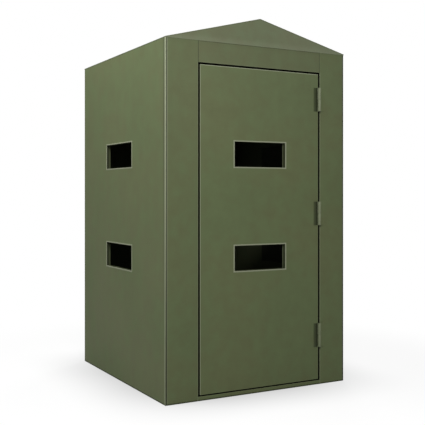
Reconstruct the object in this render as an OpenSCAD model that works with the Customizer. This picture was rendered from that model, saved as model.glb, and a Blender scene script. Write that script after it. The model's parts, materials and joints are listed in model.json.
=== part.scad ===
// Guard booth: a folded sheet-steel cabin with a gable roof, a flush door that
// opens outwards on three lift-off hinges, and two look-out ports in each side.
// Millimetres. The origin is on the ground at the centre of the plan, +Y runs
// from the door to the back wall, +X to the right as the door is faced.

/* [Booth] */
// Width over the side walls
booth_w = 1325; // [1100:5:1800]
// Depth over the front and back walls
booth_d = 1430; // [1180:5:1900]
// Height of the side walls, ground to eave
eave_h = 2200; // [2100:10:2700]
// Rise of the gable above the eave
gable_rise = 170; // [120:1:260]

/* [Sheet steel] */
// Thickness of the outer wall sheets
skin_t = 3; // [2:0.5:5]
// Thickness of the insulated wall lining
lining_t = 25; // [15:1:40]
// Inside radius of the folded wall corners
fold_in_r = 2; // [1:0.5:6]
// Flat part of the lip that each side wall folds round on to the front and back
lip_flat = 1; // [0.5:0.5:20]
// Groove between that lip and the face beside it
seam_w = 4; // [2:0.5:6]
// Vertical thickness of the roof sheets
roof_t = 4; // [3:0.5:6]

/* [Frame] */
// Width of the front face left of the doorway
left_post_w = 219; // [150:1:300]
// Width of the front face right of the doorway
right_post_w = 198; // [150:1:300]
// Depth of the front posts, header and sill
post_d = 60; // [50:1:90]
// Height of the header over the doorway
header_h = 138; // [100:1:180]
// How far the header is set back behind the posts' faces
header_set = 2; // [0:0.5:4]
// Wall thickness of the steel tubes
tube_t = 3; // [2:0.5:4]
// Width of the back corner posts
back_post_w = 40; // [35:1:60]
// Height of the rails under the eaves
eave_rail_h = 60; // [40:1:80]
// Width of the rails under the eaves
eave_rail_w = 50; // [40:1:70]
// Height of the ridge beam
ridge_h = 70; // [50:1:100]
// Width of the ridge beam
ridge_w = 60; // [40:1:90]
// Thickness of the gable plates
gable_t = 2.5; // [2:0.5:8]
// How far the gable plates reach down over the wall tops
gable_lap = 3; // [2:0.5:10]

/* [Floor] */
// Height of the door sill, and of the floor's top
sill_h = 27; // [18:1:40]
// Thickness of the floor plate
floor_t = 3; // [2:0.5:6]
// Width of the base rails
base_rail_w = 60; // [40:1:80]
// Width of the floor joists
joist_w = 50; // [30:1:70]
// Number of joists in front of the middle one
front_joists = 2; // [2:1:3]

/* [Door] */
// Gap beside the door, at its left and right edges
side_gap = 13; // [6:0.5:16]
// Gap above the door
top_gap = 12; // [5:0.5:16]
// Gap under the door
sill_gap = 8; // [5:0.5:10]
// Thickness of the door
door_t = 34; // [30:1:45]
// Thickness of the door's two sheets
door_sheet_t = 3; // [2:0.5:4]
// Width of the tubes round the door's edge
stile_w = 45; // [30:1:60]
// Width of the stops that the closed door rests against
stop_w = 25; // [18:1:35]
// Thickness of the stops
stop_t = 12; // [6:1:15]
// Space between the closed door and the stops
stop_gap = 5; // [5:0.5:8]

/* [Hinges] */
// Diameter of the hinge barrel
barrel_d = 20; // [18:1:24]
// Length of the hinge barrel
barrel_l = 154; // [120:1:200]
// Diameter of the hinge pin
pin_d = 12; // [8:1:14]
// Clearance round the pin
pin_clear = 0.05; // [0.02:0.01:0.1]
// Space between the two knuckles
knuckle_gap = 0.3; // [0.2:0.1:0.5]
// How far the pin's end stays below the top of the barrel
pin_short = 2; // [1:0.5:4]
// How far the hinge axis stands to the door's side of the middle of the gap
hinge_in = 3; // [0:0.5:5]
// How far the hinge axis stands in front of the door
hinge_proud = 11; // [10:0.5:16]
// Thickness of the hinge leaves
leaf_t = 4; // [3:0.5:5]
// Width of the leaf on the door
door_leaf_w = 27; // [20:1:40]
// Width of the leaf on the frame
frame_leaf_w = 29; // [20:1:45]
// Space between each leaf and the other half's knuckle
leaf_clear = 1; // [1:0.5:3]
// Height of the bottom hinge's middle
bottom_hinge_z = 327; // [200:1:450]
// Height of the middle hinge's middle
middle_hinge_z = 1131; // [1060:1:1250]
// Height of the top hinge's middle
top_hinge_z = 1882; // [1700:1:1890]

/* [Ports] */
// Clear width of the ports in the door
door_port_w = 378; // [250:1:450]
// Clear height of the ports in the door
door_port_h = 158; // [100:1:200]
// Clear width of the ports in the walls
wall_port_w = 448; // [250:1:500]
// Clear height of the ports in the walls
wall_port_h = 164; // [100:1:200]
// Middle of the lower ports in the door
door_port_low_z = 857; // [700:1:900]
// Middle of the upper ports in the door
door_port_high_z = 1508; // [1400:1:1600]
// Middle of the lower ports in the walls
wall_port_low_z = 840; // [700:1:900]
// Middle of the upper ports in the walls
wall_port_high_z = 1516; // [1400:1:1600]
// Middle of the door's ports, right of the booth's centre line
door_port_x = 2; // [-40:0.5:40]
// Middle of the side walls' ports, behind the booth's centre
side_port_y = 26; // [-100:1:100]
// Thickness of the frame round a port
rim_t = 8; // [3:0.5:10]
// How far that frame stands out of the wall
rim_proud = 1.5; // [0.5:0.5:3]
// Overlap of the port covers round the opening
cover_lap = 20; // [10:1:40]
// Thickness of the port covers
cover_t = 3; // [2:0.5:5]

/* [Hidden] */
$fn = 48;

cut = 1;                                    // how far a cutting shape overshoots a face
left = [1, 0, 0];                           // mirror vector between the two sides
half_w = booth_w / 2;
half_d = booth_d / 2;
fold_r = skin_t + fold_in_r;                // outside radius of the folded corners
fold_clear = 1.5 * fold_in_r;               // corner cut that stays clear of the fold's inside
corner_lip = fold_r + lip_flat;
skin_x = half_w - skin_t;                   // inner face of a side wall's sheet
skin_y = half_d - skin_t;                   // inner face of the back wall's sheet
face_x = half_w - corner_lip - seam_w;      // edge of the front posts' and back wall's faces
fold_x = skin_x - fold_r;                   // clear of the fold's inside
fold_y = skin_y - fold_r;
wall_top = eave_h - roof_t;
lining_top = eave_h - eave_rail_h;
post_back_y = -half_d + post_d;             // back of the front posts, header and sill
open_l = -half_w + left_post_w;             // doorway
open_r = half_w - right_post_w;
open_top = eave_h - header_h;
door_x = [open_l + side_gap, open_r - side_gap];
door_z = [sill_h + sill_gap, open_top - top_gap];
door_back_y = -half_d + door_t;
core_y = [-half_d + door_sheet_t, door_back_y - door_sheet_t];
stop_y = [door_back_y + stop_gap, door_back_y + stop_gap + stop_t];
joist_pitch = (half_d - post_d - joist_w / 2) / front_joists;
header_y = [-half_d + header_set, post_back_y];
hinge_x = open_r - side_gap / 2 - hinge_in;
hinge_y = -half_d - hinge_proud;
leaf_edge = barrel_d / 2 + leaf_clear;
door_port_z = [door_port_low_z, door_port_high_z];
wall_port_z = [wall_port_low_z, wall_port_high_z];

function span(mid, w) = [mid - w / 2, mid + w / 2];
function roof_z(x) = eave_h + gable_rise * (1 - abs(x) / half_w);     // top of the roof
function under_z(x) = roof_z(x) - roof_t;                             // underside of the roof

// A block between pairs of coordinates
module block(x, y, z) {
    translate([x[0], y[0], z[0]]) cube([x[1] - x[0], y[1] - y[0], z[1] - z[0]]);
}

// A rectangular tube between pairs of coordinates, open at both ends of its run (0 = x, 1 = y, 2 = z)
module tube(x, y, z, run) {
    function inner(s, i) = i == run ? [s[0] - cut, s[1] + cut] : [s[0] + tube_t, s[1] - tube_t];
    difference() {
        block(x, y, z);
        block(inner(x, 0), inner(y, 1), inner(z, 2));
    }
}

// A rectangle with true round corners
module rounded_plan(w, d, r) {
    square([w - 2 * r, d], center = true);
    square([w, d - 2 * r], center = true);
    for (sx = [-1, 1], sy = [-1, 1])
        translate([sx * (w / 2 - r), sy * (d / 2 - r)]) circle(r = r);
}

// Plan of the left wall's sheet, with a lip folded round on to the front and the back
module folded_section() {
    intersection() {
        difference() {
            rounded_plan(booth_w, booth_d, fold_r);
            rounded_plan(2 * skin_x, 2 * skin_y, fold_r - skin_t);
        }
        translate([-half_w - cut, -half_d - cut]) square([corner_lip + cut, booth_d + 2 * cut]);
    }
}

// Blocks that cut the ports of one wall, with room for their frames
module side_port_cuts(x) {
    for (z = wall_port_z)
        block(x, span(side_port_y, wall_port_w + 2 * rim_t), span(z, wall_port_h + 2 * rim_t));
}
module back_port_cuts(y) {
    for (z = wall_port_z)
        block(span(0, wall_port_w + 2 * rim_t), y, span(z, wall_port_h + 2 * rim_t));
}
module door_port_cuts(y) {
    for (z = door_port_z)
        block(span(door_port_x, door_port_w + 2 * rim_t), y, span(z, door_port_h + 2 * rim_t));
}

// The frame round a port, its outer face at y = 0 and looking towards -Y
module port_frame(w, h, depth) {
    difference() {
        block(span(0, w + 2 * rim_t), [-rim_proud, depth], span(0, h + 2 * rim_t));
        block(span(0, w), [-rim_proud - cut, depth + cut], span(0, h));
    }
}
module wall_port_frame() {
    port_frame(wall_port_w, wall_port_h, skin_t + lining_t);
}

// The left wall and what repeats on the right one
module side_sheet() {
    difference() {
        linear_extrude(height = wall_top) folded_section();
        side_port_cuts([-half_w - cut, -skin_x + cut]);
    }
}
module side_lining() {
    difference() {
        block([-skin_x, -skin_x + lining_t], [post_back_y, skin_y - back_post_w], [sill_h, lining_top]);
        side_port_cuts([-skin_x - cut, -skin_x + lining_t + cut]);
    }
}
module side_base_rail() {
    tube([-skin_x, -skin_x + base_rail_w], [post_back_y, fold_y], [0, sill_h - floor_t], 1);
}
module side_eave_rail() {
    sloped_tube([-skin_x, -skin_x + eave_rail_w], [post_back_y, fold_y]);
}
module side_port_frames() {
    for (z = wall_port_z)
        translate([-half_w, side_port_y, z]) rotate([0, 0, -90]) wall_port_frame();
}

// A rail whose top follows the underside of the left roof sheet
module sloped_tube(x, y) {
    along_y(y) difference() {
        polygon([[x[0], lining_top], [x[1], lining_top], [x[1], under_z(x[1])], [x[0], under_z(x[0])]]);
        polygon([[x[0] + tube_t, lining_top + tube_t], [x[1] - tube_t, lining_top + tube_t],
                 [x[1] - tube_t, under_z(x[1]) - tube_t], [x[0] + tube_t, under_z(x[0]) - tube_t]]);
    }
}

// Extrudes an outline drawn in X and Z between two values of y
module along_y(y) {
    translate([0, y[1], 0]) rotate([90, 0, 0]) linear_extrude(height = y[1] - y[0]) children();
}

// Plan of a front post on the left: a flat face, stepped back behind the wall's lip
module post_plan(inner_x) {
    polygon([[-face_x, -half_d], [inner_x, -half_d], [inner_x, post_back_y], [-skin_x, post_back_y],
             [-skin_x, -skin_y + fold_clear], [-skin_x + fold_clear, -skin_y], [-face_x, -skin_y]]);
}
module front_post(w) {
    inner_x = -half_w + w;
    hollow_x = [-face_x + tube_t, inner_x - tube_t];
    linear_extrude(height = wall_top) difference() {
        post_plan(inner_x);
        translate([hollow_x[0], -half_d + tube_t]) square([hollow_x[1] - hollow_x[0], post_d - 2 * tube_t]);
    }
}

// The left back post, its outer corner cut off inside the wall's fold
module back_post() {
    x = [-skin_x, -skin_x + back_post_w];
    y = [skin_y - back_post_w, skin_y];
    hollow_w = back_post_w - tube_t - max(tube_t, fold_clear);
    translate([0, 0, sill_h]) linear_extrude(height = lining_top - sill_h) difference() {
        polygon([[x[0], y[0]], [x[1], y[0]], [x[1], y[1]],
                 [x[0] + fold_clear, y[1]], [x[0], y[1] - fold_clear]]);
        translate([x[1] - tube_t - hollow_w, y[0] + tube_t]) square(hollow_w);
    }
}

module roof_sheet() {
    along_y([-half_d, half_d])
        polygon([[-half_w, under_z(half_w)], [-half_w, roof_z(half_w)], [0, roof_z(0)], [0, under_z(0)]]);
}

// A gable plate, its inner face at y = 0 and looking towards -Y
module gable_plate() {
    along_y([-gable_t, 0])
        polygon([[-half_w, wall_top - gable_lap], [half_w, wall_top - gable_lap],
                 [half_w, roof_z(half_w)], [0, roof_z(0)], [-half_w, roof_z(half_w)]]);
}

// The two halves of a hinge, about the hinge's own axis and middle
module frame_half() {
    h = barrel_l / 2;
    leaf_y = [hinge_proud - leaf_t, hinge_proud];
    block([leaf_edge, leaf_edge + frame_leaf_w], leaf_y, [-h, h]);
    difference() {
        block([0, leaf_edge + cut], leaf_y, [-h, -knuckle_gap / 2]);
        translate([0, 0, -h - cut]) cylinder(d = barrel_d - cut, h = h + 2 * cut);
    }
    translate([0, 0, -h]) cylinder(d = barrel_d, h = h - knuckle_gap / 2);
    translate([0, 0, -h]) cylinder(d = pin_d, h = barrel_l - pin_short);
}
module door_half() {
    h = barrel_l / 2;
    leaf_y = [hinge_proud - leaf_t, hinge_proud];
    block([-leaf_edge - door_leaf_w, -leaf_edge], leaf_y, [-h, h]);
    difference() {
        union() {
            block([-leaf_edge - cut, 0], leaf_y, [knuckle_gap / 2, h]);
            translate([0, 0, knuckle_gap / 2]) cylinder(d = barrel_d, h = h - knuckle_gap / 2);
        }
        translate([0, 0, -cut]) cylinder(d = pin_d + 2 * pin_clear, h = h + 2 * cut);
    }
}
module at_hinge(z) {
    translate([hinge_x, hinge_y, z]) children();
}

// ---- base and floor ----
module base_rail_left() { color("dimgray") side_base_rail(); }
module base_rail_right() { color("dimgray") mirror(left) side_base_rail(); }
module base_rail_back() {
    x = skin_x - base_rail_w;
    color("dimgray") tube([-x, x], [skin_y - base_rail_w, skin_y], [0, sill_h - floor_t], 0);
}
module door_sill() {
    color("darkolivegreen") tube([open_l, open_r], [-half_d, post_back_y], [0, sill_h], 0);
}
module floor_joists() {
    x = skin_x - base_rail_w;
    color("dimgray") for (i = [-front_joists : 1])
        tube([-x, x], span(i * joist_pitch, joist_w), [0, sill_h - floor_t], 0);
}
module floor_plate() {
    color("gray") block([-skin_x, skin_x], [post_back_y, fold_y], [sill_h - floor_t, sill_h]);
}

// ---- walls ----
module left_wall() { color("olivedrab") side_sheet(); }
module right_wall() { color("olivedrab") mirror(left) side_sheet(); }
module back_wall() {
    color("olivedrab") difference() {
        block([-face_x, face_x], [skin_y, half_d], [0, wall_top]);
        back_port_cuts([skin_y - cut, half_d + cut]);
    }
}
module left_lining() { color("darkslategray") side_lining(); }
module right_lining() { color("darkslategray") mirror(left) side_lining(); }
module back_lining() {
    x = skin_x - back_post_w;
    y = [skin_y - lining_t, skin_y];
    color("darkslategray") difference() {
        block([-x, x], y, [sill_h, lining_top]);
        back_port_cuts(y + [-cut, cut]);
    }
}

// ---- frame ----
module left_post() { color("darkolivegreen") front_post(left_post_w); }
module right_post() { color("darkolivegreen") mirror(left) front_post(right_post_w); }
module header() {
    color("darkolivegreen") tube([open_l, open_r], header_y, [open_top, wall_top], 0);
}
module back_post_left() { color("dimgray") back_post(); }
module back_post_right() { color("dimgray") mirror(left) back_post(); }
module eave_rail_left() { color("dimgray") side_eave_rail(); }
module eave_rail_right() { color("dimgray") mirror(left) side_eave_rail(); }
module back_top_rail() {
    x = skin_x - eave_rail_w;
    color("dimgray") tube([-x, x], [skin_y - eave_rail_w, skin_y], [lining_top, wall_top], 0);
}
module ridge_beam() {
    x = ridge_w / 2;
    bottom = under_z(0) - ridge_h;
    color("dimgray") along_y([-half_d, half_d]) difference() {
        polygon([[-x, bottom], [x, bottom], [x, under_z(x)], [0, under_z(0)], [-x, under_z(x)]]);
        polygon([[-x + tube_t, bottom + tube_t], [x - tube_t, bottom + tube_t],
                 [x - tube_t, under_z(x) - tube_t], [0, under_z(0) - tube_t],
                 [-x + tube_t, under_z(x) - tube_t]]);
    }
}

// ---- roof ----
module roof_left() { color("olive") roof_sheet(); }
module roof_right() { color("olive") mirror(left) roof_sheet(); }
module front_gable() { color("yellowgreen") translate([0, -half_d, 0]) gable_plate(); }
module back_gable() { color("yellowgreen") translate([0, half_d, 0]) mirror([0, 1, 0]) gable_plate(); }

// ---- door stops ----
module door_stop_left() { color("gray") block([open_l, open_l + stop_w], stop_y, [sill_h, open_top]); }
module door_stop_right() { color("gray") block([open_r - stop_w, open_r], stop_y, [sill_h, open_top]); }
module door_stop_top() {
    color("gray") block([open_l + stop_w, open_r - stop_w], stop_y, [open_top - stop_w, open_top]);
}

// ---- ports ----
module left_ports() { color("olive") side_port_frames(); }
module right_ports() { color("olive") mirror(left) side_port_frames(); }
module back_ports() {
    color("olive") for (z = wall_port_z)
        translate([0, half_d, z]) rotate([0, 0, 180]) wall_port_frame();
}
module right_port_covers() {
    x = skin_x - lining_t;
    color("gray") for (z = wall_port_z)
        block([x - cover_t, x], span(side_port_y, wall_port_w + 2 * cover_lap),
              span(z, wall_port_h + 2 * cover_lap));
}

// ---- hinge halves on the frame ----
module frame_hinge_top() { color("tan") at_hinge(top_hinge_z) frame_half(); }
module frame_hinge_middle() { color("tan") at_hinge(middle_hinge_z) frame_half(); }
module frame_hinge_bottom() { color("tan") at_hinge(bottom_hinge_z) frame_half(); }

// ---- door ----
module door_sheet(y) {
    difference() {
        block(door_x, y, door_z);
        door_port_cuts(y + [-cut, cut]);
    }
}
module door_skin() { color("darkseagreen") door_sheet([-half_d, core_y[0]]); }
module door_lining() { color("darkslategray") door_sheet([core_y[1], door_back_y]); }
module door_stile_left() { color("dimgray") tube([door_x[0], door_x[0] + stile_w], core_y, door_z, 2); }
module door_stile_right() { color("dimgray") tube([door_x[1] - stile_w, door_x[1]], core_y, door_z, 2); }
module door_rails() {
    x = door_x + [stile_w, -stile_w];
    color("dimgray") {
        tube(x, core_y, [door_z[0], door_z[0] + stile_w], 0);
        tube(x, core_y, [door_z[1] - stile_w, door_z[1]], 0);
    }
}
module door_ports() {
    color("olive") for (z = door_port_z)
        translate([door_port_x, -half_d, z]) port_frame(door_port_w, door_port_h, door_t);
}
module door_hinge_top() { color("peru") at_hinge(top_hinge_z) door_half(); }
module door_hinge_middle() { color("peru") at_hinge(middle_hinge_z) door_half(); }
module door_hinge_bottom() { color("peru") at_hinge(bottom_hinge_z) door_half(); }

base_rail_left();
base_rail_right();
base_rail_back();
door_sill();
floor_joists();
floor_plate();
left_wall();
right_wall();
back_wall();
left_lining();
right_lining();
back_lining();
left_post();
right_post();
header();
back_post_left();
back_post_right();
eave_rail_left();
eave_rail_right();
back_top_rail();
ridge_beam();
roof_left();
roof_right();
front_gable();
back_gable();
door_stop_left();
door_stop_right();
door_stop_top();
left_ports();
back_ports();
right_ports();
right_port_covers();
frame_hinge_top();
frame_hinge_middle();
frame_hinge_bottom();
door_skin();
door_lining();
door_stile_left();
door_stile_right();
door_rails();
door_ports();
door_hinge_top();
door_hinge_middle();
door_hinge_bottom();
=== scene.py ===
import json
import math

import bmesh
import bpy
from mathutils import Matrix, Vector


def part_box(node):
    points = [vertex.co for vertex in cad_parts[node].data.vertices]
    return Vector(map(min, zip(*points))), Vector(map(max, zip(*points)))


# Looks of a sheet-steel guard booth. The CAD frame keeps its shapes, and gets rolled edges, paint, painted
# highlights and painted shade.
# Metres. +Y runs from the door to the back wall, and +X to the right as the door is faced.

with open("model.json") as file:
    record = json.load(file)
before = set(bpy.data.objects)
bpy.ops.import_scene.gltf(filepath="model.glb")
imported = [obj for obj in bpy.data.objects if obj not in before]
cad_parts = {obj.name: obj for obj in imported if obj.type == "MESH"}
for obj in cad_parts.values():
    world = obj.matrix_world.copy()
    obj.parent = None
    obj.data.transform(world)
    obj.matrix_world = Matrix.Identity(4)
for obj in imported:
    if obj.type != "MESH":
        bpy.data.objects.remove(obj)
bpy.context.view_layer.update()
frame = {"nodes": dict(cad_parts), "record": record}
record = frame["record"]
scene = bpy.context.scene


def box(name):
    low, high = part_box(name)
    return Vector(low), Vector(high)


# ---------------------------------------------------------------- sizes from the frame
SIDE_X = -box("left_wall")[0].x          # half the booth's width
FRONT_Y = box("left_wall")[0].y          # the plane of the posts' and the door's faces
BACK_Y = box("left_wall")[1].y
WALL_TOP = box("left_wall")[1].z
DOORWAY_TOP = box("header")[0].z
ROOF_SHEET = 0.004                       # vertical thickness of the roof sheets
EAVE = WALL_TOP + ROOF_SHEET
RIDGE = box("roof_left")[1].z


# ---------------------------------------------------------------- camera
# The camera stands left of the door and looks level past the front corner.
EYE = Vector((-2.6509, -4.9444, 1.2699))
HEADING = math.radians(28.609)          # to the right of +Y
LENS_MM = 66.527
HORIZON_SHIFT = -0.04746                # the horizon lies a little above the middle of the frame


def make_camera():
    data = bpy.data.cameras.new("camera")
    data.lens = LENS_MM
    data.sensor_width = 36.0
    data.shift_y = HORIZON_SHIFT
    camera = bpy.data.objects.new("camera", data)
    camera.location = EYE
    camera.rotation_euler = (math.pi / 2, 0.0, -HEADING)
    scene.collection.objects.link(camera)
    scene.camera = camera


# ---------------------------------------------------------------- node helpers
class Shader:
    """A material's node tree, with short calls for the nodes used here."""

    def __init__(self, name):
        self.material = bpy.data.materials.new(name)
        self.material.use_nodes = True
        self.tree = self.material.node_tree
        self.tree.nodes.clear()
        self.output = self.tree.nodes.new("ShaderNodeOutputMaterial")
        self.place = self.tree.nodes.new("ShaderNodeTexCoord").outputs["Object"]
        split = self.add("ShaderNodeSeparateXYZ", Vector=self.place)
        self.x, self.y, self.z = split.outputs["X"], split.outputs["Y"], split.outputs["Z"]

    def add(self, kind, **values):
        """Adds a node. Values named like its inputs are set or linked, and others are its own settings."""
        node = self.tree.nodes.new(kind)
        for key, value in values.items():
            label = key.replace("_", " ")
            if label in node.inputs:
                self.feed(node.inputs[label], value)
            else:
                setattr(node, key, value)
        return node

    def feed(self, socket, value):
        if isinstance(value, bpy.types.NodeSocket):
            self.tree.links.new(value, socket)
        else:
            socket.default_value = value

    def math(self, operation, a, b=0.0):
        node = self.tree.nodes.new("ShaderNodeMath")
        node.operation = operation
        self.feed(node.inputs[0], a)
        self.feed(node.inputs[1], b)
        return node.outputs[0]

    def noise(self, scale, detail=2.0, roughness=0.5, stretch=(1, 1, 1)):
        mapping = self.add("ShaderNodeMapping", Vector=self.place, Scale=stretch)
        node = self.add("ShaderNodeTexNoise", Vector=mapping.outputs[0], Scale=scale, Detail=detail,
                        Roughness=roughness)
        return node.outputs["Fac"]

    def between(self, value, low, high, out_low, out_high):
        """Maps a value from one range to another, and holds it at the ends."""
        return self.map_range("LINEAR", value, low, high, out_low, out_high)

    def step(self, value, none, full):
        """0 where the value is at none, 1 where it is at full, and a soft step between them."""
        return self.map_range("SMOOTHSTEP", value, none, full, 0.0, 1.0)

    def map_range(self, interpolation, *numbers):
        node = self.tree.nodes.new("ShaderNodeMapRange")
        node.interpolation_type = interpolation
        for socket, number in zip(node.inputs, numbers):
            self.feed(socket, number)
        return node.outputs[0]

    def rest(self, mask):
        """1 where the mask is 0, and 0 where it is 1."""
        return self.math("SUBTRACT", 1.0, mask)

    def both(self, *masks):
        """1 only where every mask is."""
        result = masks[0]
        for mask in masks[1:]:
            result = self.math("MULTIPLY", result, mask)
        return result

    def mix(self, factor, a, b):
        node = self.tree.nodes.new("ShaderNodeMix")
        node.data_type = "RGBA"
        self.feed(node.inputs[0], factor)
        self.feed(node.inputs[6], a)
        self.feed(node.inputs[7], b)
        return node.outputs[2]

    def brighten(self, colour, gain):
        node = self.tree.nodes.new("ShaderNodeVectorMath")
        node.operation = "SCALE"
        self.feed(node.inputs[0], colour)
        self.feed(node.inputs["Scale"], gain)
        return node.outputs[0]

    def bump(self, height, strength, distance, normal=None):
        node = self.add("ShaderNodeBump", Height=height, Strength=strength, Distance=distance)
        if normal is not None:
            self.feed(node.inputs["Normal"], normal)
        return node.outputs[0]

    def finish(self, **values):
        surface = self.add("ShaderNodeBsdfPrincipled", **values)
        self.tree.links.new(surface.outputs[0], self.output.inputs["Surface"])
        return self.material


def rgb(r, g, b):
    """A display colour, 0 to 255, as the linear colour that a shader takes."""
    def linear(c):
        c = c / 255
        return c / 12.92 if c <= 0.04045 else ((c + 0.055) / 1.055) ** 2.4
    return (linear(r), linear(g), linear(b), 1.0)


def tinted(colour, r, g, b):
    return (colour[0] * r, colour[1] * g, colour[2] * b, 1.0)


# ---------------------------------------------------------------- marks on the paint
# A mark is a mask over a surface and an amount. Above 0 it is a painted highlight, and below 0 painted shade.
# Each function takes a shader and gives a list of marks. A pair of sizes
# says where a mask starts and where it is full.
FOOT = (0.012, 0.005)                   # height of the painted contact shade at the foot
FOLD_BAND = 0.020                       # strip of painted highlight on the wall beside a folded corner
LIP = (0.004, 0.002)                    # depth behind the front of the wall's folded lip
BACK_FOLD = (0.013, 0.009)              # depth before the back of its back fold
WALL_SKIN = (0.0075, 0.0065)            # depth from outside within which the wall and its folds are seen
WALL_FACE = (0.0035, 0.0015)            # the same, for the wall's flat outer face alone
EDGE_BAND = 0.0055                      # strip of painted highlight along a cut edge
SEAM_BAND = 0.005                       # strip of painted shade along a closed seam
GROOVE_DEPTH = 0.0016                   # anything deeper behind the faces gets painted shade
IN_GAP_SHADE = -0.99
LINES_GAP = (0.060, 0.040)              # depth behind the front of what lines the gap round the door
STILE_SIDE = (0.004, 0.0035)            # depth inside the door's edge of the sides of its stiles
TOP_LIGHT_HEIGHTS = (1.3, 2.1)                      # heights over which the upper sheets grow paler, a painted light from above
CAP_SHADE = 0.035                       # painted shade under the gable plate
PORT_RIM = (0.002, 0.0035)              # depth of a port's rim
DOOR_PORT_INNER = (0.025, 0.027)        # depth behind the rim of the inner edge of the door's ports
WALL_PORT_INNER = (0.01568, 0.01736)    # the same, for the walls' ports
LEAF_START = 0.0006                     # how soon beside a hinge's barrel the masks of its leaves are full


# Painted contact shade along the foot.
def foot_shade(s):
    return [(s.step(s.z, *FOOT), -0.62)]


# Painted shade on the posts and header under the gable plate.
def under_gable_shade(s):
    return [(s.step(s.z, WALL_TOP - CAP_SHADE, WALL_TOP - 0.2 * CAP_SHADE), -0.05)]


# Painted light from above: the upper sheets grow paler towards the top.
def painted_top_light(s):
    return [(s.between(s.z, *TOP_LIGHT_HEIGHTS, 0.0, 1.0), 0.04)]


def wall_marks(s):
    """The left wall's front fold gets a painted highlight, paler up high, with painted shade on the face
    beside it.
    """
    half_x = s.math("ABSOLUTE", s.x)
    left_side = s.step(s.x, 0.1, -0.1)
    face = s.step(half_x, SIDE_X - WALL_SKIN[0], SIDE_X - WALL_SKIN[1])
    outer = s.step(half_x, SIDE_X - WALL_FACE[0], SIDE_X - WALL_FACE[1])
    band = s.step(s.y, FRONT_Y + FOLD_BAND, FRONT_Y + 0.8 * FOLD_BAND)
    wide = s.step(s.y, FRONT_Y + 2.0 * FOLD_BAND, FRONT_Y + 1.5 * FOLD_BAND)
    lip = s.step(s.y, FRONT_Y + LIP[0], FRONT_Y + LIP[1])
    back_fold = s.step(s.y, BACK_Y - BACK_FOLD[0], BACK_Y - BACK_FOLD[1])
    # Painted shade also darkens the lower part of each front lip, the back folds, the right wall's front lip
    # and the top under the roof.
    return foot_shade(s) + [
        (s.both(outer, wide, left_side, s.between(s.z, 0.3, 1.6, 0.0, 1.0)), -0.28),
        (s.both(face, band, left_side, s.between(s.z, 0.0, 0.9, 0.9, 1.0)), 0.52),
        (s.both(face, lip, left_side, s.between(s.z, 0.45, 1.5, 0.0, 1.0)), 0.31),
        (s.both(face, lip, s.between(s.z, 1.1, 0.2, 0.0, 1.0)), -0.42),
        (s.both(face, back_fold), -0.35),
        (s.both(face, lip, s.rest(left_side)), -0.3),
        (s.step(s.z, WALL_TOP - 0.008, WALL_TOP - 0.002), -0.15),
    ]


# Painted shade on whatever lies deeper than a groove behind the face: jambs, groove bottoms and door edges.
def gap_shade_mark(s, face_y=FRONT_Y):
    return [(s.step(s.y, face_y + 0.6 * GROOVE_DEPTH, face_y + GROOVE_DEPTH), IN_GAP_SHADE)]


def edge_mask(s, value, edge, inward, band=EDGE_BAND):
    """A strip at an edge. Inward is 1 if the surface lies on the side of larger values, and -1 if not."""
    return s.step(value, edge + inward * band, edge + inward * 0.7 * band)


def beside_door(s):
    """1 up to the top of the doorway."""
    return s.step(s.z, DOORWAY_TOP + 0.002, DOORWAY_TOP - 0.002)


# Painted highlights run along the doorway edge and, paler up high, along the post beside the front corner.
def left_post_marks(s):
    edge = box("left_post")[1].x
    face = box("left_wall")[1].x
    return foot_shade(s) + under_gable_shade(s) + painted_top_light(s) + [
        (s.both(edge_mask(s, s.x, edge, -1), beside_door(s)), 0.22),
        (s.both(s.step(s.x, face + 0.012, face + 0.009), s.between(s.z, 0.0, 2.0, 0.3, 1.0)), 0.34),
    ] + gap_shade_mark(s)


# A painted highlight runs along the doorway edge.
def right_post_marks(s):
    edge = box("right_post")[0].x
    return foot_shade(s) + under_gable_shade(s) + painted_top_light(s) + [
        (s.both(edge_mask(s, s.x, edge, 1), beside_door(s)), 0.34),
    ] + gap_shade_mark(s)


# Painted shade lies in the seams at both ends, and a painted highlight runs along the bottom edge.
def header_marks(s):
    low, high = box("header")
    return under_gable_shade(s) + painted_top_light(s) + [
        (edge_mask(s, s.x, low.x, 1, SEAM_BAND), -0.6),
        (edge_mask(s, s.x, high.x, -1, 0.6 * SEAM_BAND), -0.5),
        (edge_mask(s, s.z, low.z, 1), 0.10),
    ] + gap_shade_mark(s, low.y)


def sill_marks(s):
    return foot_shade(s) + gap_shade_mark(s)


# Painted highlights run along the skin's left, top and right edges.
def door_marks(s):
    low, high = box("door_skin")
    return painted_top_light(s) + [
        (edge_mask(s, s.x, low.x, 1), 0.62),
        (edge_mask(s, s.z, high.z, -1), 0.8),
        (edge_mask(s, s.x, high.x, -1), 0.08),
    ] + gap_shade_mark(s)


def gable_marks(s):
    """Dark along the rakes, with a painted highlight along the bottom edge and painted light towards the
    right.
    """
    bottom = box("front_gable")[0].z
    slope = (RIDGE - EAVE) / SIDE_X
    roof = s.math("SUBTRACT", RIDGE, s.math("MULTIPLY", s.math("ABSOLUTE", s.x), slope))
    below = s.math("SUBTRACT", roof, s.z)
    return [
        (s.step(s.z, bottom + 0.045, bottom + 0.005), 0.10),
        (s.step(below, 0.010, 0.005), -0.15),
        (s.between(s.x, -0.1, 0.5, 0.0, 1.0), 0.10),
    ]


def roof_marks(s):
    """Painted shade along the eaves and along the front and back edges."""
    half_x, half_y = s.math("ABSOLUTE", s.x), s.math("ABSOLUTE", s.y)
    return [
        (s.step(half_x, SIDE_X - 0.012, SIDE_X - 0.004), -0.4),
        (s.step(half_y, BACK_Y - 0.012, BACK_Y - 0.004), -0.4),
    ]


def frame_marks(s):
    """Tubes and stops are in deep shade where they line the gap round the door."""
    return [(s.step(s.y, FRONT_Y + LINES_GAP[0], FRONT_Y + LINES_GAP[1]), -0.97)]


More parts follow.
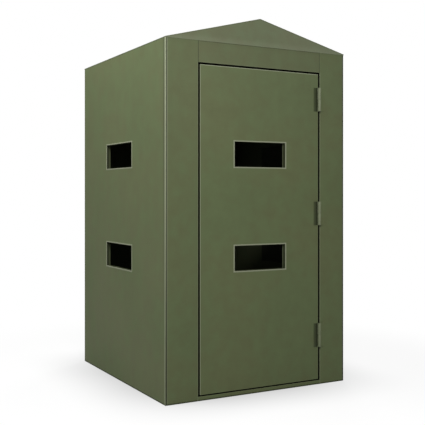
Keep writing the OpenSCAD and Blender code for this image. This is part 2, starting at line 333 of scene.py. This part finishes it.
def stile_marks(s):
    """The tubes inside the door's edge are in deep shade on the sides that line the gap."""
    low, high = box("door_skin")
    half_w = (high.x - low.x) / 2
    across = s.math("ABSOLUTE", s.math("SUBTRACT", s.x, (high.x + low.x) / 2))
    return [(s.step(across, half_w - STILE_SIDE[0], half_w - STILE_SIDE[1]), -0.83)]


def port_marks(s, depth, inner_edge, inside, inner):
    """A painted highlight on the rim, painted shade inside the opening, and a paler inner edge."""
    behind = s.step(depth, *PORT_RIM)
    innermost = s.step(depth, *inner_edge)
    outer_part = s.both(behind, s.rest(innermost))
    return [(s.rest(behind), 0.88), (outer_part, inside), (innermost, inner)]


def door_port_marks(s):
    depth = s.math("SUBTRACT", s.y, box("door_ports")[0].y)
    return port_marks(s, depth, DOOR_PORT_INNER, -0.62, 0.30)


def wall_port_marks(s, depth):
    return port_marks(s, depth, WALL_PORT_INNER, -0.80, -0.50)


def left_port_marks(s):
    return wall_port_marks(s, s.math("SUBTRACT", s.x, box("left_ports")[0].x))


def right_port_marks(s):
    return wall_port_marks(s, s.math("SUBTRACT", box("right_ports")[1].x, s.x))


def back_port_marks(s):
    return wall_port_marks(s, s.math("SUBTRACT", box("back_ports")[1].y, s.y))


def hinge_marks(s, door_node, frame_node):
    """The barrel gets a painted highlight, stronger on the higher hinges. The door's leaf gets the barrel's
    painted shadow, darkest beside it, and the frame's leaf has the post's colour.
    """
    door_low, door_high = box(door_node)
    frame_low, frame_high = box(frame_node)
    axis = (door_high.x + frame_low.x) / 2
    radius = door_high.x - axis
    door_leaf = s.step(s.x, axis - radius, axis - radius - LEAF_START)
    frame_leaf = s.step(s.x, axis + radius, axis + radius + LEAF_START)
    barrel = s.rest(s.math("MAXIMUM", door_leaf, frame_leaf))
    painted_shade = s.between(s.x, door_low.x, axis - radius, 0.48, 0.92)
    return [
        (s.both(barrel, s.between(s.z, 0.3, 1.9, 0.6, 1.0)), 0.6),
        (s.both(door_leaf, painted_shade), -1.0),
    ]


# ---------------------------------------------------------------- paints
MOTTLE = 0.06                           # how much paler and darker the clouds in the paint are


def paint(name, colour, marks=None, rough=0.62, edge=False):
    """Powder-coated sheet, clouded in broad patches, with a fine orange-peel skin.

    With edge set it is the same paint on a bend or a cut edge, where a painted highlight makes it paler."""
    s = Shader(name + ("_edge" if edge else ""))
    grey = 0.5 * (colour[0] + colour[1] + colour[2])
    # A pale tone for painted highlights, and a near-black one for painted shade.
    highlight_pale = (colour[0] + grey, colour[1] + grey, colour[2] + 0.86 * grey, 1.0)
    painted_shade = tinted(colour, 0.04, 0.04, 0.04)
    broad = s.noise(1.7, detail=3.0)
    medium = s.noise(11.0, detail=4.0, roughness=0.6)
    streaks = s.noise(5.0, detail=3.0, stretch=(3.0, 3.0, 0.22))
    fine = s.noise(420.0, detail=2.0)
    warm = tinted(colour, 1.020, 0.985, 0.975)
    cool = tinted(colour, 0.955, 1.010, 0.985)
    tone = s.mix(s.step(s.math("ADD", broad, medium), 0.80, 1.20), warm, cool)
    gain = s.between(medium, 0.3, 0.7, 1 - MOTTLE, 1 + MOTTLE)
    gain = s.math("MULTIPLY", gain, s.between(streaks, 0.3, 0.7, 1 - MOTTLE / 4, 1 + MOTTLE / 4))
    tone = s.brighten(tone, gain)
    # A bend or cut edge gets a painted highlight, stronger in patches.
    if edge:
        highlight_patches = s.noise(24.0, detail=4.0, roughness=0.65)
        tone = s.mix(s.between(highlight_patches, 0.35, 0.7, 0.14, 0.32), tone, highlight_pale)
    # Marks above 0 mix in the painted highlight, and marks below 0 the painted shade.
    for mask, amount in marks(s) if marks else []:
        tone = s.mix(s.math("MULTIPLY", mask, abs(amount)), tone, highlight_pale if amount > 0 else painted_shade)
    roughness = s.between(s.math("ADD", medium, broad), 0.7, 1.3, rough - 0.05, rough + 0.07)
    normal = s.bump(fine, 0.12, 0.0004)
    normal = s.bump(broad, 0.10, 0.004, normal)
    return s.finish(Base_Color=tone, Roughness=roughness, Normal=normal, Specular_IOR_Level=0.12)


OLIVE = rgb(96, 104, 73)
DARK = rgb(90, 97, 72)


def node_paints(name, colour, marks=None, **settings):
    return (paint(name, colour, marks, **settings), paint(name, colour, marks, edge=True, **settings))


def make_paints():
    """Pairs of paints, for faces and edges. A node without its own pair has the one named like its slot."""
    faces = {
        "wall_paint": (OLIVE, wall_marks),
        "gable_paint": (rgb(104, 110, 85), gable_marks),
        "roof_paint": (OLIVE, roof_marks),
        "front_paint": (OLIVE, None),
        "door_paint": (OLIVE, None),
        "left_post": (rgb(94, 102, 72), left_post_marks),
        "right_post": (OLIVE, right_post_marks),
        "header": (rgb(95, 101, 73), header_marks),
        "door_sill": (OLIVE, sill_marks),
        "door_skin": (OLIVE, door_marks),
        "door_stile_left": (OLIVE, stile_marks),
        "door_stile_right": (OLIVE, stile_marks),
        "right_port_covers": (rgb(60, 64, 50), None),
        "lining_paint": (DARK, None),
        "frame_paint": (rgb(70, 75, 57), frame_marks),
        "floor_steel": (rgb(62, 63, 57), None),
        "door_ports": (OLIVE, door_port_marks),
        "left_ports": (OLIVE, left_port_marks),
        "right_ports": (OLIVE, right_port_marks),
        "back_ports": (OLIVE, back_port_marks),
    }
    made = {name: node_paints(name, colour, marks) for name, (colour, marks) in faces.items()}
    for place in ("top", "middle", "bottom"):
        door_node, frame_node = "door_hinge_" + place, "frame_hinge_" + place
        pair = node_paints("hinge_" + place, OLIVE, rough=0.5,
                           marks=lambda s: hinge_marks(s, door_node, frame_node))
        made[door_node] = made[frame_node] = pair
    return made


# ---------------------------------------------------------------- CAD nodes
EDGE_ROUND = {                          # radius of the rounded edges
    "wall_paint": 0.0010, "front_paint": 0.0014, "gable_paint": 0.0013, "roof_paint": 0.0013,
    "door_paint": 0.0014, "port_paint": 0.0012, "hinge_paint": 0.0010, "lining_paint": 0.0012,
    "frame_paint": 0.0013, "floor_steel": 0.0008,
}


def dress_nodes(paints):
    """Gives every CAD node its paint, and rolls its sharp edges with a modifier."""
    slot_of = {entry["node"]: entry["material_slot"] for entry in record["subparts"]}
    for name, node in frame["nodes"].items():
        slot = slot_of[name]
        node.data.materials.clear()
        for material in paints.get(name, paints.get(slot)):
            node.data.materials.append(material)
        weld = node.modifiers.new("weld", "WELD")
        weld.merge_threshold = 0.00002
        flat = node.modifiers.new("flat", "DECIMATE")
        flat.decimate_type = "DISSOLVE"
        flat.angle_limit = math.radians(0.5)
        roll = node.modifiers.new("roll", "BEVEL")
        roll.width = EDGE_ROUND[slot]
        roll.segments = 2
        roll.limit_method = "ANGLE"
        roll.angle_limit = math.radians(40)
        roll.harden_normals = True
        # The rolled edges take the second paint, the one with the painted highlight.
        roll.material = 1


# ---------------------------------------------------------------- stage and light
SHADOW_REACH = 0.5                      # how far the soft shadow spreads from the booth's foot
SHADOW_DEPTH = 0.58                     # how dark it is under the booth
FLOOR_GLOW = 0.865                      # the part of the floor's white that doesn't come from the lamps
FLOOR_SEEN = 0.13                       # the part that does, as the floor's paleness where the camera sees it
FLOOR_BOUNCE = 0.35                     # the floor's paleness for the light that it throws back on the booth
FLOOR_WHITE = (2.6, 1.6)                # pure white beyond the first distance, and shaded within the second


def make_stage():
    """A pale floor. The camera sees it as white, apart from the soft shadow round the booth."""
    s = Shader("pale_floor")
    path = s.tree.nodes.new("ShaderNodeLightPath")
    seen = s.math("MAXIMUM", path.outputs["Is Camera Ray"], path.outputs["Is Glossy Ray"])
    seen = s.math("MAXIMUM", seen, path.outputs["Is Transmission Ray"])
    across = s.add("ShaderNodeVectorMath", operation="LENGTH", Vector=s.place).outputs["Value"]
    near = s.step(across, *FLOOR_WHITE)
    half_x, half_y = s.math("ABSOLUTE", s.x), s.math("ABSOLUTE", s.y)
    # The soft shadow round the foot is painted into the floor as a blurred box, and the lit part adds the
    # real shadow.
    under = s.both(s.step(half_x, SIDE_X + SHADOW_REACH, SIDE_X - SHADOW_REACH),
                   s.step(half_y, BACK_Y + SHADOW_REACH, BACK_Y - SHADOW_REACH))
    light = s.math("SUBTRACT", 1.0, s.math("MULTIPLY", under, SHADOW_DEPTH))
    lit = s.add("ShaderNodeBsdfDiffuse", Color=s.brighten((FLOOR_SEEN,) * 3, light))
    bounce = s.add("ShaderNodeBsdfDiffuse", Color=(FLOOR_BOUNCE,) * 3 + (1.0,))
    glow_strength = s.math("MULTIPLY", light, FLOOR_GLOW)
    glow = s.add("ShaderNodeEmission", Color=(1.0, 1.0, 1.0, 1.0), Strength=glow_strength)
    white = s.add("ShaderNodeEmission", Color=(1.0, 1.0, 1.0, 1.0), Strength=1.0)
    shaded = s.tree.nodes.new("ShaderNodeAddShader")
    s.feed(shaded.inputs[0], lit.outputs[0])
    s.feed(shaded.inputs[1], glow.outputs[0])
    for_camera = s.tree.nodes.new("ShaderNodeMixShader")
    s.feed(for_camera.inputs[0], near)
    s.feed(for_camera.inputs[1], white.outputs[0])
    s.feed(for_camera.inputs[2], shaded.outputs[0])
    surface = s.tree.nodes.new("ShaderNodeMixShader")
    s.feed(surface.inputs[0], seen)
    s.feed(surface.inputs[1], bounce.outputs[0])
    s.feed(surface.inputs[2], for_camera.outputs[0])
    s.tree.links.new(surface.outputs[0], s.output.inputs["Surface"])

    mesh = bpy.data.meshes.new("floor")
    form = bmesh.new()
    bmesh.ops.create_grid(form, x_segments=1, y_segments=1, size=40.0)
    form.to_mesh(mesh)
    form.free()
    floor = bpy.data.objects.new("floor", mesh)
    mesh.materials.append(s.material)
    scene.collection.objects.link(floor)


def make_light():
    world = bpy.data.worlds.new("studio")
    scene.world = world
    world.use_nodes = True
    tree = world.node_tree
    tree.nodes.clear()
    path = tree.nodes.new("ShaderNodeLightPath")
    seen = tree.nodes.new("ShaderNodeMath")
    seen.operation = "MAXIMUM"
    tree.links.new(path.outputs["Is Camera Ray"], seen.inputs[0])
    tree.links.new(path.outputs["Is Transmission Ray"], seen.inputs[1])
    strength = tree.nodes.new("ShaderNodeMapRange")
    strength.inputs["To Min"].default_value = 0.27      # the light on the booth
    strength.inputs["To Max"].default_value = 1.0       # white, as the camera sees it
    tree.links.new(seen.outputs[0], strength.inputs["Value"])
    background = tree.nodes.new("ShaderNodeBackground")
    background.inputs["Color"].default_value = (1.0, 1.0, 1.0, 1.0)
    tree.links.new(strength.outputs[0], background.inputs["Strength"])
    output = tree.nodes.new("ShaderNodeOutputWorld")
    tree.links.new(background.outputs[0], output.inputs["Surface"])

    area_light("key", (-2.65, 0.0, 4.35), (0.0, -0.3, 1.3), size=1.3, power=115.0)
    area_light("front", (-1.7, -3.9, 3.0), (0.0, -0.3, 1.3), size=1.2, power=113.0)
    area_light("back", (3.0, 3.4, 3.6), (0.0, 0.0, 1.2), size=1.6, power=110.0)


def area_light(name, place, target, size, power):
    data = bpy.data.lights.new(name, "AREA")
    data.size = size
    data.energy = power
    lamp = bpy.data.objects.new(name, data)
    lamp.location = place
    lamp.rotation_euler = (Vector(target) - Vector(place)).to_track_quat("-Z", "Y").to_euler()
    lamp.visible_camera = False
    scene.collection.objects.link(lamp)


make_camera()
dress_nodes(make_paints())
make_stage()
make_light()
scene.view_settings.view_transform = "Standard"
